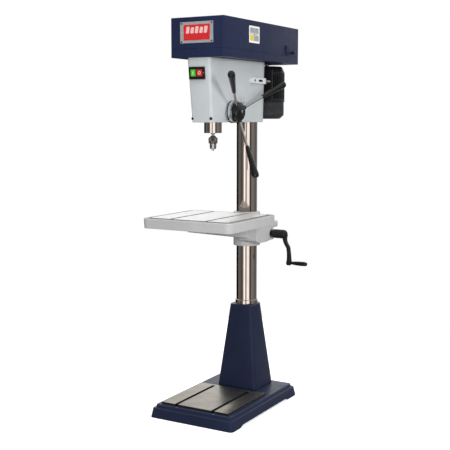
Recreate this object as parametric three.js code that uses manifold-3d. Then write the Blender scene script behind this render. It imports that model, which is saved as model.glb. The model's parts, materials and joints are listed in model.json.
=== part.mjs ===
// Floor-standing drill press with a belt-driven spindle, a three-arm quill feed and a
// rack-raised work table. Millimetres, +Z up. The column axis meets the floor at the origin;
// the machine faces -Y, and +X is the operator's right.
import * as THREE from 'three';
import { mergeVertices } from 'three/addons/utils/BufferGeometryUtils.js';
import Module from 'manifold-3d';

const wasm = await Module();
wasm.setup();

// ---- driving dimensions -------------------------------------------------------------------
const GAP = 0.3;                 // air left between pieces that touch
const COLUMN_R = 46;
const COLUMN_WALL = 5;
const COLUMN_TOP = 1470;
const FLOOR_TOP = 56;            // top of the base, which the land and the foot stand on
const LEDGE = 42;                // the base's outer ledge, below its raised middle
const BASE = { half: 202, front: -488, back: 114, draft: 8 };
const LAND = { half: 163, front: -452, back: -125, top: 65 };
const BASE_SLOT_X = 89;
const SLOT = { throat: 7, under: 12 };   // half widths of a T-slot, at the face and below it
const FOOT = { bottom: 98, top: 57, height: 430, front: 16, rear: 46 };   // half widths and corner radii
const FOOT_BOLT_Y = 76;
const TABLE = { half: 212, front: -521, back: -119, bottom: 813, rim: 854, top: 856 };
const TROUGH = { outer: 18, inner: 29, depth: 6 };   // coolant groove, measured in from the table's edge
const TABLE_SLOT_X = 84;
const TABLE_BOLT = { x: 28, y: -300, head: 789 };   // head: roof of the pocket that takes the bolt's head
const COLLAR = { r: 60, bottom: 697, top: 848 };
const HEAD = { bottom: 1246, top: 1507, frontLow: -386, frontHigh: -412 };
const COVER = { half: 125, front: -422, back: 261, bottom: 1507.3, seam: 1541, top: 1666.6 };
const SPINDLE_Y = -296;
const QUILL = { r: 37, bore: 22, bottom: 1202, top: 1432 };
const FEED = { y: -246, z: 1290, module: 2, teeth: 16 };
const FEED_SHAFT_R = 11;
const LIFT = { y: 73, z: 745, module: 3, teeth: 10 };
const LIFT_SHAFT_R = 8;
const CRANK_DROP = 128;          // from the crank's shaft down to its grip
const LOCK = { x: -20, z: 784 };   // axis of the table lock, behind the column
const RACK = { low: 449.3, high: 1245.4, half: 11 };   // the rack stands on its ring and stops under the head
const LEVER_ANGLE = -56.6;       // first feed lever, degrees from +Z towards +Y
const MOTOR = { y: 190, r: 81, bottom: 1260, split: 1335, top: 1497 };
const IDLER_Y = -68;
const BAR = { x: 62, z: 1425, r: 9 };   // the motor's two slide bars
const FACE_TILT = Math.atan2(HEAD.frontLow - HEAD.frontHigh, HEAD.top - HEAD.bottom);
const SWITCH_Z = 1445;
const BADGE = { half: 77.5, bottom: 1563, top: 1647 };
const WHEEL = { low: 1552, step: 20, groove: 9 };   // stepped belt wheels: lowest face, rise per step, groove depth

// ---- finishes -----------------------------------------------------------------------------
const finish = (color, roughness, metalness) => new THREE.MeshStandardMaterial({ color, roughness, metalness });
const greyPaint = finish(0xc6caca, 0.45, 0);
const navyPaint = finish(0x222c47, 0.4, 0);
const groundIron = finish(0xb9b5ae, 0.35, 1);
const groundSteel = finish(0xb3aaa6, 0.2, 1);
const chrome = finish(0xd6d8da, 0.12, 1);
const blackPaint = finish(0x1b1c1e, 0.4, 0);
const blackPlastic = finish(0x131416, 0.35, 0);
const greenPlastic = finish(0x35b23a, 0.35, 0);
const redPlastic = finish(0xd12f2f, 0.35, 0);
const rubber = finish(0x1a1a1a, 0.8, 0);
const aluminium = finish(0xc0c3c6, 0.35, 1);

// ---- solids -------------------------------------------------------------------------------
const rad = THREE.MathUtils.degToRad;
const press = new THREE.Group();

/** Makes a closed solid from a three.js geometry: shared corners merged, faces turned outwards. */
function solid(geometry) {
  const plain = geometry.index ? geometry.toNonIndexed() : geometry.clone();
  for (const key of Object.keys(plain.attributes)) {
    if (key !== 'position') plain.deleteAttribute(key);
  }
  const merged = mergeVertices(plain, 1e-4);
  const p = merged.attributes.position;
  const index = [];
  let volume = 0;
  const [a, b, c] = [new THREE.Vector3(), new THREE.Vector3(), new THREE.Vector3()];
  for (let i = 0; i < merged.index.count; i += 3) {
    const t = [0, 1, 2].map((k) => merged.index.getX(i + k));
    if (t[0] === t[1] || t[1] === t[2] || t[2] === t[0]) continue;
    index.push(...t);
    a.fromBufferAttribute(p, t[0]);
    b.fromBufferAttribute(p, t[1]);
    c.fromBufferAttribute(p, t[2]);
    volume += a.dot(b.cross(c));
  }
  if (volume < 0) index.reverse();
  return new wasm.Manifold(new wasm.Mesh({
    numProp: 3,
    vertProperties: new Float32Array(p.array),
    triVerts: new Uint32Array(index),
  }));
}

/** Adds a solid to a group as one named mesh. */
function piece(name, material, body, group = press) {
  const { vertProperties, triVerts } = body.getMesh();
  const geometry = new THREE.BufferGeometry();
  geometry.setAttribute('position', new THREE.BufferAttribute(vertProperties, 3));
  geometry.setIndex(new THREE.BufferAttribute(triVerts, 1));
  const mesh = new THREE.Mesh(geometry, material);
  mesh.name = name;
  group.add(mesh);
}

const union = (...bodies) => bodies.reduce((sum, body) => sum.add(body));
const cut = (body, ...tools) => tools.reduce((rest, tool) => rest.subtract(tool), body);

function block(x0, x1, y0, y1, z0, z1) {
  const g = new THREE.BoxGeometry(x1 - x0, y1 - y0, z1 - z0);
  return solid(g.translate((x0 + x1) / 2, (y0 + y1) / 2, (z0 + z1) / 2));
}

/** Turns a geometry made along +Z so that it lies along the named axis. */
function along(axis, geometry) {
  if (axis === 'x') geometry.rotateY(Math.PI / 2);
  if (axis === 'y') geometry.rotateX(-Math.PI / 2);
  return geometry;
}

/** A round bar along an axis, from one station to another, centred on (u, v) of the other two axes. */
function rod(axis, radius, from, to, centre, segments = 20) {
  const g = new THREE.CylinderGeometry(radius, radius, to - from, segments);
  along(axis, g.rotateX(Math.PI / 2));
  const mid = (from + to) / 2;
  const [u, v] = centre;
  const at = { x: [mid, u, v], y: [u, mid, v], z: [u, v, mid] }[axis];
  return solid(g.translate(...at));
}

/** A turned solid: a closed outline of [radius, station] pairs spun about an axis. */
function turned(axis, outline, centre = [0, 0], segments = 24) {
  const points = [...outline, outline[0]].map(([r, s]) => new THREE.Vector2(r, s));
  const g = along(axis, new THREE.LatheGeometry(points, segments).rotateX(Math.PI / 2));
  const [u, v] = centre;
  const at = { x: [0, u, v], y: [u, 0, v], z: [u, v, 0] }[axis];
  return solid(g.translate(...at));
}

/** An outline carried straight along an axis. For x the outline is (y, z); for y it is (x, z). */
function prism(axis, outline, from, to, holes = []) {
  const shape = new THREE.Shape(outline.map(([u, v]) => new THREE.Vector2(u, v)));
  shape.holes = holes.map((hole) => new THREE.Path(hole.map(([u, v]) => new THREE.Vector2(u, v))));
  const g = new THREE.ExtrudeGeometry(shape, { depth: to - from, bevelEnabled: false });
  const p = g.attributes.position;
  for (let i = 0; i < p.count; i += 1) {
    const [u, v, s] = [p.getX(i), p.getY(i), p.getZ(i) + from];
    if (axis === 'x') p.setXYZ(i, s, u, v);
    if (axis === 'y') p.setXYZ(i, u, s, v);
    if (axis === 'z') p.setXYZ(i, u, v, s);
  }
  return solid(g);
}

/** Points of an arc, first and last angle in degrees. */
function arc(cx, cy, r, first, last, steps) {
  return Array.from({ length: steps + 1 }, (_, i) => {
    const angle = rad(first + ((last - first) * i) / steps);
    return [cx + r * Math.cos(angle), cy + r * Math.sin(angle)];
  });
}

/** A rectangle with rounded corners, counter-clockwise. */
function roundRect(x0, x1, y0, y1, r, steps = 4) {
  return [
    ...arc(x1 - r, y0 + r, r, -90, 0, steps),
    ...arc(x1 - r, y1 - r, r, 0, 90, steps),
    ...arc(x0 + r, y1 - r, r, 90, 180, steps),
    ...arc(x0 + r, y0 + r, r, 180, 270, steps),
  ];
}

/** Joins outlines of equal length, each at its own height, into one closed solid. */
function loft(...layers) {
  const count = layers[0].outline.length;
  const points = layers.flatMap(({ outline, z }) => outline.map(([x, y]) => [x, y, z]));
  const triangles = [];
  for (let layer = 0; layer + 1 < layers.length; layer += 1) {
    for (let i = 0; i < count; i += 1) {
      const [a, b] = [layer * count + i, layer * count + ((i + 1) % count)];
      triangles.push(a, b, b + count, a, b + count, a + count);
    }
  }
  const cap = (outline) => THREE.ShapeUtils.triangulateShape(outline.map(([x, y]) => new THREE.Vector2(x, y)), []);
  for (const [a, b, c] of cap(layers[0].outline)) triangles.push(a, c, b);
  const last = (layers.length - 1) * count;
  for (const [a, b, c] of cap(layers.at(-1).outline)) triangles.push(last + a, last + b, last + c);
  const g = new THREE.BufferGeometry();
  g.setAttribute('position', new THREE.Float32BufferAttribute(points.flat(), 3));
  g.setIndex(triangles);
  return solid(g);
}

/** A spur gear outline with involute flanks, slimmed at the flanks for backlash. */
function gearOutline(module, teeth, turn) {
  const pitchR = (module * teeth) / 2;
  const baseR = pitchR * Math.cos(rad(20));
  const tipR = pitchR + module * 0.9;
  const rootR = pitchR - module * 1.25;
  const flank = (r) => {
    const along20 = Math.tan(rad(20)) - rad(20);
    const roll = Math.sqrt(Math.max((r / baseR) ** 2 - 1, 0));
    return roll - Math.atan(roll) - along20;
  };
  const halfTooth = (Math.PI / 2 / teeth) * 0.82;
  const radii = [rootR, pitchR, tipR];
  const points = [];
  for (let k = 0; k < teeth; k += 1) {
    const middle = turn + (k * 2 * Math.PI) / teeth;
    const side = radii.map((r) => [r, halfTooth - flank(Math.max(r, baseR))]);
    const rise = side.map(([r, half]) => [r, middle - half]);
    const fall = side.map(([r, half]) => [r, middle + half]).reverse();
    for (const [r, angle] of [...rise, ...fall]) points.push([r * Math.cos(angle), r * Math.sin(angle)]);
  }
  return points;
}

/**
 * Trapezoid rack teeth on a back bar, in (across, up): tooth tips at +across, pitch line at 0.
 * The addendum is a share of the module.
 */
function rackOutline(module, low, high, phase, depth, addendum = 0.9) {
  const pitch = Math.PI * module;
  const lean = module * Math.tan(rad(20));
  const [tip, root] = [module * addendum, -module * 1.25];
  const points = [[-depth, high], [-depth, low], [root, low]];
  const first = Math.ceil((low - phase) / pitch + 0.5);
  const last = Math.floor((high - phase) / pitch - 0.5);
  const half = (pitch / 4) * 0.82;
  for (let k = first; k <= last; k += 1) {
    const middle = phase + k * pitch;
    points.push([root, middle - half - lean * 1.25], [tip, middle - half + lean * addendum]);
    points.push([tip, middle + half - lean * addendum], [root, middle + half + lean * 1.25]);
  }
  points.push([root, high]);
  return points;
}

/** The taut loop of a belt of one radius round each of two wheels, at x = 0 and two y stations. */
function beltLoop(yA, rA, yB, rB, steps = 14) {
  const lean = Math.asin((rA - rB) / (yB - yA)) * (180 / Math.PI);
  return [...arc(0, yA, rA, 180 - lean, 360 + lean, steps), ...arc(0, yB, rB, lean, 180 - lean, steps)];
}

// ---- base, foot and column ----------------------------------------------------------------
function buildBase() {
  const { half, front, back, draft } = BASE;
  const plan = (inset, r) => roundRect(-half + inset, half - inset, front + inset, back - inset, r);
  const slab = loft(
    { outline: plan(0, 16), z: 0 },
    { outline: plan(draft, 12), z: LEDGE - 2 },
    { outline: plan(draft + 2, 10), z: LEDGE },
  );
  const middle = loft(
    { outline: plan(draft + 9, 10), z: LEDGE - 3 },
    { outline: plan(draft + 12, 9), z: FLOOR_TOP - 2 },
    { outline: plan(draft + 14, 8), z: FLOOR_TOP },
  );
  const land = block(-LAND.half, LAND.half, LAND.front, LAND.back, FLOOR_TOP - 1, LAND.top);
  const recess = prism('x', [[-417, -1], [-417, 0], [-390, 8], [2, 8], [24, 0], [24, -1]], -half - 1, half + 1);
  const wall = 14;
  const rib = 10;
  const [cols, rows] = [3, 4];
  const wide = (2 * (half - wall) - rib * (cols - 1)) / cols;
  const long = (back - front - 2 * wall - rib * (rows - 1)) / rows;
  let body = cut(union(slab, middle, land), recess);
  for (let i = 0; i < cols; i += 1) {
    for (let j = 0; j < rows; j += 1) {
      const x = -half + wall + i * (wide + rib);
      const y = front + wall + j * (long + rib);
      body = cut(body, block(x, x + wide, y, y + long, -1, 30));
    }
  }
  body = union(body, rod('z', 60, 0, 31, [0, 0], 32));
  for (const side of [-1, 1]) {
    const x = side * BASE_SLOT_X;
    const throat = block(x - SLOT.throat, x + SLOT.throat, LAND.front - 1, LAND.back - 16, 53, LAND.top + 1);
    const under = block(x - SLOT.under, x + SLOT.under, LAND.front - 4, LAND.back - 16, 45, 53.5);
    const boltAt = [0, side * FOOT_BOLT_Y];
    body = cut(body, throat, under, rod('z', 6.5, 20, 60, boltAt, 12));
    piece(`foot_bolt_${side < 0 ? 1 : 2}`, groundSteel, union(
      rod('z', 6, 29, 88, boltAt, 12),
      rod('z', 10, 22, 29.7, boltAt, 6),
    ));
  }
  piece('base_casting', navyPaint, body);
}

/** The foot's square plan: tight corners in front, wide ones at the back. */
function footPlan(h, front, rear) {
  return [
    ...arc(h - front, -h + front, front, -90, 0, 4),
    ...arc(h - rear, h - rear, rear, 0, 90, 7),
    ...arc(-h + rear, h - rear, rear, 90, 180, 7),
    ...arc(-h + front, -h + front, front, 180, 270, 4),
  ];
}

function buildFoot() {
  const { bottom, top, height, front, rear } = FOOT;
  const low = FLOOR_TOP + GAP;
  const plan = (h, inset) => footPlan(h - inset, front - inset, rear - inset);
  const shell = loft({ outline: plan(bottom, 0), z: low }, { outline: plan(top, 0), z: height });
  const hollow = loft({ outline: plan(bottom, 9), z: low - 1 }, { outline: plan(top, 4), z: height - 60 });
  let body = cut(shell, hollow);
  for (const side of [-1, 1]) {
    body = union(body, block(-16, 16, side * 82 - 18, side * 82 + 12, low, 92));
  }
  body = body.intersect(shell);
  for (const side of [-1, 1]) {
    body = cut(body, rod('z', 6.4, 40, 89, [0, side * FOOT_BOLT_Y], 12));
  }
  piece('column_foot', navyPaint, cut(body, rod('z', COLUMN_R + 0.6, 40, height + 1, [0, 0], 36)));
}

function buildColumn() {
  const inner = COLUMN_R - COLUMN_WALL;
  const low = FLOOR_TOP + GAP;
  piece('column_tube', groundSteel, turned('z', [
    [inner, low], [COLUMN_R, low], [COLUMN_R, COLUMN_TOP], [inner, COLUMN_TOP],
  ], [0, 0], 36));
  const ring = (z0, z1, r) => [[COLUMN_R + 0.6, z0], [r, z0], [r, z1], [COLUMN_R + 0.6, z1]];
  piece('rack_ring', groundSteel, turned('z', ring(FOOT.height + GAP, RACK.low - GAP, 50), [0, 0], 36));
  const pitchY = LIFT.y - (LIFT.module * LIFT.teeth) / 2;
  const depth = pitchY - COLUMN_R - 0.7;
  const phase = LIFT.z + (Math.PI * LIFT.module) / 2;
  const outline = rackOutline(LIFT.module, RACK.low, RACK.high, phase, depth, 0.6);
  piece('column_rack', groundSteel, prism('x', outline.map(([u, v]) => [u + pitchY, v]), -RACK.half, RACK.half));
}

// ---- work table ---------------------------------------------------------------------------
function buildBracket() {
  const { r, bottom, top } = COLLAR;
  const under = TABLE.bottom - GAP;
  const collar = rod('z', r, bottom, top, [0, 0], 36);
  const flank = prism('x', [
    [-72, under], [-72, 726], [-60, 718], [-30, 713], [20, 712], [60, 715], [88, 722], [95, 732], [95, under],
  ], 0, 88);
  const ear = prism('y', roundRect(58, 98, 772, 802, 6, 2), 90, 116);
  const backBox = block(-34, 88, 30, 95, 716, 800);
  const arm = prism('x', [[-430, under], [-430, 797], [-40, 732], [-40, under]], -44, 44);
  let body = union(collar, flank, backBox, ear, arm);
  const rackY = LIFT.y - (LIFT.module * LIFT.teeth) / 2 + LIFT.module;
  body = cut(
    body,
    rod('z', COLUMN_R + 0.6, bottom - 1, top + 1, [0, 0], 36),
    block(-11.6, 11.6, 20, rackY + 0.6, bottom - 1, top + 1),
    rod('x', 18.6, -15, 90, [LIFT.y, LIFT.z], 32),
    rod('x', LIFT_SHAFT_R + 0.6, -30, 0, [LIFT.y, LIFT.z], 24),
    rod('y', 6.4, 64, 97, [LOCK.x, LOCK.z], 12),
  );
  for (const x of [-TABLE_BOLT.x, TABLE_BOLT.x]) {
    const at = [x, TABLE_BOLT.y];
    body = cut(body, rod('z', 5.4, 760, 820, at, 12), rod('z', 11, 760, TABLE_BOLT.head, at, 20));
  }
  piece('table_bracket', greyPaint, body);
}

function buildTable() {
  const { half, front, back, bottom, rim, top } = TABLE;
  const rect = (inset, r) => roundRect(-half + inset, half - inset, front + inset, back - inset, r, 5);
  const plate = loft(
    { outline: rect(2, 28), z: bottom },
    { outline: rect(0, 29), z: rim - 2 },
    { outline: rect(1.5, 28), z: rim },
  );
  const trough = prism('z', rect(TROUGH.outer, 18), rim - TROUGH.depth, rim + 1);
  const work = prism('z', rect(TROUGH.inner, 10), rim - TROUGH.depth - 2, top);
  let body = union(cut(plate, trough), work);
  for (const x of [-TABLE_SLOT_X, TABLE_SLOT_X]) {
    const [y0, y1] = [front + TROUGH.inner - 1, back - TROUGH.inner + 1];
    body = cut(
      body,
      block(x - SLOT.throat, x + SLOT.throat, y0, y1, top - 13, top + 1),
      block(x - SLOT.under, x + SLOT.under, y0, y1, top - 20, top - 12),
    );
  }
  const [wall, web] = [16, 60];
  for (const [x0, x1] of [[-half + wall, -web], [web, half - wall]]) {
    for (const [y0, y1] of [[front + wall, -320], [-308, back - wall]]) {
      body = cut(body, block(x0, x1, y0, y1, bottom - 1, bottom + 17));
    }
  }
  [-TABLE_BOLT.x, TABLE_BOLT.x].forEach((x, i) => {
    const at = [x, TABLE_BOLT.y];
    body = cut(body, rod('z', 5.4, bottom - 1, bottom + 22, at, 16));
    piece(`table_bolt_${i + 1}`, groundSteel, union(
      rod('z', 5, TABLE_BOLT.head - 1, bottom + 20, at, 12),
      rod('z', 9, TABLE_BOLT.head - 9, TABLE_BOLT.head - GAP, at, 6),
    ));
  });
  piece('table_top', greyPaint, body);
}

function buildLift() {
  const { y, z, module, teeth } = LIFT;
  const gear = prism('x', gearOutline(module, teeth, Math.PI).map(([u, v]) => [y + u, z + v]), -11, 11);
  piece('table_pinion', groundSteel, union(gear, rod('x', LIFT_SHAFT_R, -28, 132, [y, z], 24)));
  piece('pinion_bush', groundIron, turned('x', [[8.5, 14], [18.1, 14], [18.1, 88], [8.5, 88]], [y, z], 32));
  const hub = turned('x', [
    [8.4, 88.6], [12, 88.6], [12, 95], [17, 96], [19.5, 101], [20, 150], [17, 161], [12, 164], [0, 164],
    [0, 132.5], [8.4, 132.5],
  ], [y, z], 20);
  const armLine = [[158, z - 4], [156, z - 40], [162, z - 66], [172, z - 90], [176, z - CRANK_DROP]];
  const path = new THREE.CatmullRomCurve3(armLine.map(([px, pz]) => new THREE.Vector3(px, y, pz)));
  const section = new THREE.Shape([[-8, -6.5], [8, -6.5], [10, 0], [8, 6.5], [-8, 6.5], [-10, 0]]
    .map(([u, v]) => new THREE.Vector2(u, v)));
  const arm = solid(new THREE.ExtrudeGeometry(section, { extrudePath: path, steps: 9, bevelEnabled: false }));
  const gripAt = [y, z - CRANK_DROP];
  const eye = rod('x', 12, 167, 185, gripAt, 20);
  const pin = rod('x', 3.6, 180, 262, gripAt, 16);
  piece('table_crank', blackPaint, cut(union(hub, arm, eye, pin), rod('x', 8.4, 100, 132.5, [y, z], 24)));
  piece('crank_grip', blackPlastic, turned('x', [
    [4, 186], [6.5, 186], [9, 205], [10, 235], [9.5, 258], [8, 266], [0, 266], [0, 262.6], [4, 262.6],
  ], gripAt, 20));
  const armY = 104;
  piece('table_lock_handle', blackPaint, union(
    rod('y', 6, 66, 100, [LOCK.x, LOCK.z], 16),
    rod('y', 13, 95.4, 112, [LOCK.x, LOCK.z], 20),
    rod('z', 5.5, 706, 780, [LOCK.x, armY], 12),
    turned('z', [[0, 686], [7, 688], [8.4, 696], [7.6, 712], [6, 718], [0, 718]], [LOCK.x, armY], 14),
  ));
}

// ---- head ---------------------------------------------------------------------------------
/** The head's plan at one height: flat front with rounded corners, flanks widening to a round back. */
function headPlan(frontY, frontHalf, backR) {
  const corner = 12;
  return [
    ...arc(frontHalf - corner, frontY + corner, corner, -90, -4, 5),
    ...arc(0, 0, backR, -4, 184, 22),
    ...arc(-frontHalf + corner, frontY + corner, corner, 184, 270, 5),
  ];
}

function buildHead() {
  const { bottom, top } = HEAD;
  const shell = loft(
    { outline: headPlan(HEAD.frontLow, 49, 70), z: bottom },
    { outline: headPlan(HEAD.frontHigh, 55, 76), z: top },
  );
  const lug = (side) => prism('z', [
    [side * 40, -68], [side * 74, -68], [side * 80, -60], [side * 80, 28], [side * 74, 34], [side * 40, 34],
  ], BAR.z - 13, BAR.z + 13);
  const feedAt = [FEED.y, FEED.z];
  const dialBoss = rod('x', 30, 40, 59.7, feedAt, 32);
  const springBoss = rod('x', 30, -59.7, -40, feedAt, 32);
  const knobAt = [-20, BAR.z];
  let body = union(shell, lug(-1), lug(1), dialBoss, springBoss);
  body = cut(
    body,
    rod('z', COLUMN_R + 0.6, bottom - 1, top + 1, [0, 0], 36),
    rod('z', QUILL.r + 0.6, bottom - 1, top + 1, [0, SPINDLE_Y], 32),
    block(-40, 40, -208, -92, bottom + 22, top + 1),
    rod('x', (FEED.module * FEED.teeth) / 2 + 2.6, -62, 62, feedAt, 32),
    rod('z', 10.6, 1450, top + 1, [0, IDLER_Y], 20),
    rod('y', BAR.r + 0.5, -60, 90, [BAR.x, BAR.z], 24),
    rod('y', BAR.r + 0.5, -60, 90, [-BAR.x, BAR.z], 24),
    rod('x', 5.4, -90, -70, knobAt, 16),
  );
  piece('head_casting', greyPaint, body);
  piece('tension_lock_knob', blackPlastic, union(
    rod('x', 5, -92, -72, knobAt, 16),
    rod('x', 15, -104, -86, knobAt, 10),
  ));
  piece('cord_gland', blackPlastic, turned('y', [
    [3.5, 71.6], [13, 71.6], [13, 77], [9, 79], [7, 96], [3.5, 96],
  ], [0, 1290], 16));
}

function buildCover() {
  const { half, front, back, bottom, seam, top } = COVER;
  const wall = 2.5;
  const box = (inset, z0, z1) => prism('z', roundRect(
    -half + inset, half - inset, front + inset, back - inset, Math.max(6 - inset, 3), 3,
  ), z0, z1);
  const hingeX = -half - 5;
  const hingeZ = seam;
  const knuckle = (y0, y1, z0, z1) => union(
    rod('y', 4.5, y0, y1, [hingeX, hingeZ], 16),
    block(-half - 4, -half + 1, y0, y1, z0, z1),
  );
  const pinHole = rod('y', 2.4, front, back, [hingeX, hingeZ], 12);
  let pan = cut(box(0, bottom, seam - GAP / 2), box(wall, bottom + 3, seam + 1));
  pan = cut(
    pan,
    rod('z', 24, bottom - 1, bottom + 4, [0, SPINDLE_Y], 24),
    rod('z', 14, bottom - 1, bottom + 4, [0, IDLER_Y], 20),
    block(-16, 16, MOTOR.y - 34, MOTOR.y + 16, bottom - 1, bottom + 4),
  );
  let lid = cut(box(0, seam + GAP / 2, top), box(wall, seam - 1, top - 3));
  for (const y of [-300, 140]) {
    pan = union(pan, knuckle(y, y + 24, seam - 22, seam - 3));
    lid = union(lid, knuckle(y + 24.6, y + 48, seam + 3, seam + 22));
  }
  piece('cover_pan', navyPaint, cut(pan, pinHole));
  piece('cover_lid', navyPaint, cut(lid, pinHole));
  piece('lid_hinge_pin', groundSteel, rod('y', 2, -304, 192, [hingeX, hingeZ], 12));
  piece('lid_knob', blackPlastic, turned('x', [
    [0, half + GAP], [6, half + GAP], [5, half + 5], [9, half + 8], [9, half + 13], [6, half + 15], [0, half + 15],
  ], [190, 1556], 20));
  const badge = roundRect(-BADGE.half, BADGE.half, BADGE.bottom, BADGE.top, 3, 2);
  piece('badge_plate', aluminium, prism('y', badge, front - 2.3, front - GAP));
}

// ---- switch -------------------------------------------------------------------------------
function buildSwitch() {
  const panel = new THREE.Group();
  panel.position.set(0, HEAD.frontLow - Math.tan(FACE_TILT) * (SWITCH_Z - HEAD.bottom), SWITCH_Z);
  panel.rotation.x = FACE_TILT;
  press.add(panel);
  const face = -GAP;
  const windows = [[-34, -12], [-6, 20]];
  let frame = block(-44, 30, face - 8, face, -25, 25);
  for (const [x0, x1] of windows) {
    frame = cut(frame, block(x0 - 0.4, x1 + 0.4, -20, 10, -13.4, 14.4));
  }
  piece('switch_plate', blackPlastic, frame, panel);
  const names = ['start_button', 'stop_button'];
  [greenPlastic, redPlastic].forEach((material, i) => {
    const [x0, x1] = windows[i];
    piece(names[i], material, block(x0, x1, face - 9.5, face - 4, -13, 14), panel);
  });
}

// ---- spindle ------------------------------------------------------------------------------
function buildSpindle() {
  const at = [0, SPINDLE_Y];
  const { r, bore, bottom, top } = QUILL;
  const rackDepth = FEED.module * 1.25 + FEED.module * 0.9;
  const pitchY = FEED.y - (FEED.module * FEED.teeth) / 2;
  const teeth = rackOutline(FEED.module, 1230, 1424, FEED.z + (Math.PI * FEED.module) / 2, rackDepth);
  const toothed = teeth.slice(2).map(([u, v]) => [u + pitchY, v]);
  const gaps = prism('x', [...toothed, [pitchY + 8, 1424], [pitchY + 8, 1230]], -13, 13);
  const sleeve = turned('z', [
    [bore, bottom], [r, bottom], [r, top], [bore, top],
  ], at, 32);
  piece('quill_sleeve', chrome, cut(sleeve, gaps));
  piece('spindle_shaft', groundSteel, turned('z', [
    [0, 1192], [6, 1192], [6, 1197], [10, 1199], [10, 1202], [14, 1205], [14, 1428], [11, 1436],
    [11, 1646], [0, 1646],
  ], at, 24));
  [['spindle_bearing_lower', 1206], ['spindle_bearing_upper', 1412]].forEach(([name, z]) => {
    piece(name, groundSteel, turned('z', [[14.4, z], [21.6, z], [21.6, z + 16], [14.4, z + 16]], at, 24));
  });
}

function buildChuck() {
  const at = [0, SPINDLE_Y];
  piece('chuck_body', groundSteel, turned('z', [
    [6.6, 1135], [11, 1135], [13.5, 1140], [13.5, 1157], [15, 1158], [15, 1184], [8, 1191.6],
    [0, 1191.6], [0, 1182], [13.4, 1182], [13.4, 1176],
  ], at, 20));
  piece('chuck_sleeve', groundSteel, turned('z', [
    [15.5, 1158.5], [17.5, 1158.5], [19, 1161], [19, 1180], [17, 1184], [15.5, 1184],
  ], at, 20));
  const lean = Math.atan2(7.4, 41);
  for (let k = 0; k < 3; k += 1) {
    const jaw = new THREE.Group();
    jaw.position.set(0, SPINDLE_Y, 1128);
    jaw.rotation.z = rad(90 + 120 * k);
    press.add(jaw);
    const bar = new THREE.BoxGeometry(2.6, 2.8, 42).translate(0, 0, 21).rotateY(lean).translate(3.2, 0, 0);
    piece(`chuck_jaw_${k + 1}`, groundSteel, solid(bar), jaw);
  }
}

// ---- quill feed ---------------------------------------------------------------------------
function buildFeed() {
  const { y, z, module, teeth } = FEED;
  const at = [y, z];
  const gear = prism('x', gearOutline(module, teeth, Math.PI).map(([u, v]) => [y + u, z + v]), -12, 12);
  piece('feed_pinion_shaft', groundSteel, union(gear, rod('x', FEED_SHAFT_R, -74, 104, at, 24)));
  piece('dial_ring', chrome, turned('x', [
    [FEED_SHAFT_R + 0.6, 60.2], [47, 60.2], [47, 63], [46, 63], [46, 84], [FEED_SHAFT_R + 0.6, 84],
  ], at, 30));
  piece('feed_hub', blackPlastic, cut(turned('x', [
    [11.4, 84.4], [38, 84.4], [40, 87], [40, 104], [36, 110], [28, 112], [0, 112], [0, 104.4], [11.4, 104.4],
  ], at, 24), ...leverLines().map(({ start, aim }) => leverBar(start, aim, 6, -12, 16))));
  leverLines().forEach(({ start, aim }, k) => {
    piece(`feed_lever_rod_${k + 1}`, chrome, leverBar(start, aim, 5.5, -8, 150));
    const grip = [
      [5.9, 118], [8, 118], [8.5, 124], [11.5, 190], [15, 228], [15.5, 244], [12, 253], [6, 257], [0, 257.4],
      [0, 150.5], [5.9, 150.5],
    ];
    piece(`feed_lever_grip_${k + 1}`, blackPlastic, pointed(grip, start, aim, 14));
  });
  piece('spring_cap', blackPaint, turned('x', [
    [0, -90], [26, -90], [30, -86], [31, -60.1], [12, -60.1], [12, -80], [0, -80],
  ], at, 32));
  piece('dial_pointer', groundSteel, union(
    rod('x', 3, 63.5, 86, [y + 62, z + 38], 12),
    rod('z', 2.6, z + 37, z + 64, [83, y + 62], 10),
  ));
}

/** Start point on the hub and outward direction of each of the three feed levers. */
function leverLines() {
  const splay = Math.atan2(92, 250);
  return [0, 1, 2].map((k) => {
    const angle = rad(LEVER_ANGLE + 120 * k);
    const radial = new THREE.Vector3(0, Math.sin(angle), Math.cos(angle));
    const aim = radial.clone().multiplyScalar(Math.cos(splay));
    aim.x = Math.sin(splay);
    const start = new THREE.Vector3(98, FEED.y, FEED.z).addScaledVector(radial, 30);
    return { start, aim };
  });
}

/** A turned outline whose axis starts at a point and follows a direction. */
function pointed(outline, start, aim, segments) {
  const points = [...outline, outline[0]].map(([r, s]) => new THREE.Vector2(r, s));
  const g = new THREE.LatheGeometry(points, segments);
  g.applyQuaternion(new THREE.Quaternion().setFromUnitVectors(new THREE.Vector3(0, 1, 0), aim));
  return solid(g.translate(start.x, start.y, start.z));
}

function leverBar(start, aim, radius, from, to) {
  return pointed([[0, from], [radius, from], [radius, to], [0, to]], start, aim, 16);
}

// ---- belt drive ---------------------------------------------------------------------------
/** The closed outline of a plain tube, for turning. */
function tube(inner, outer, low, high) {
  return [[inner, low], [outer, low], [outer, high], [inner, high]];
}

/** A stepped V-belt wheel, with one groove in each step. */
function stepPulley(radii, bore) {
  const { low, step, groove } = WHEEL;
  const outline = [[bore, low]];
  radii.forEach((r, i) => {
    const z = low + i * step;
    const floor = r - groove;
    outline.push([r, z], [r, z + 4], [floor, z + 7], [floor, z + 13], [r, z + 16], [r, z + step - 0.01]);
  });
  outline.push([bore, low + radii.length * step - 0.01]);
  return outline;
}

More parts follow.
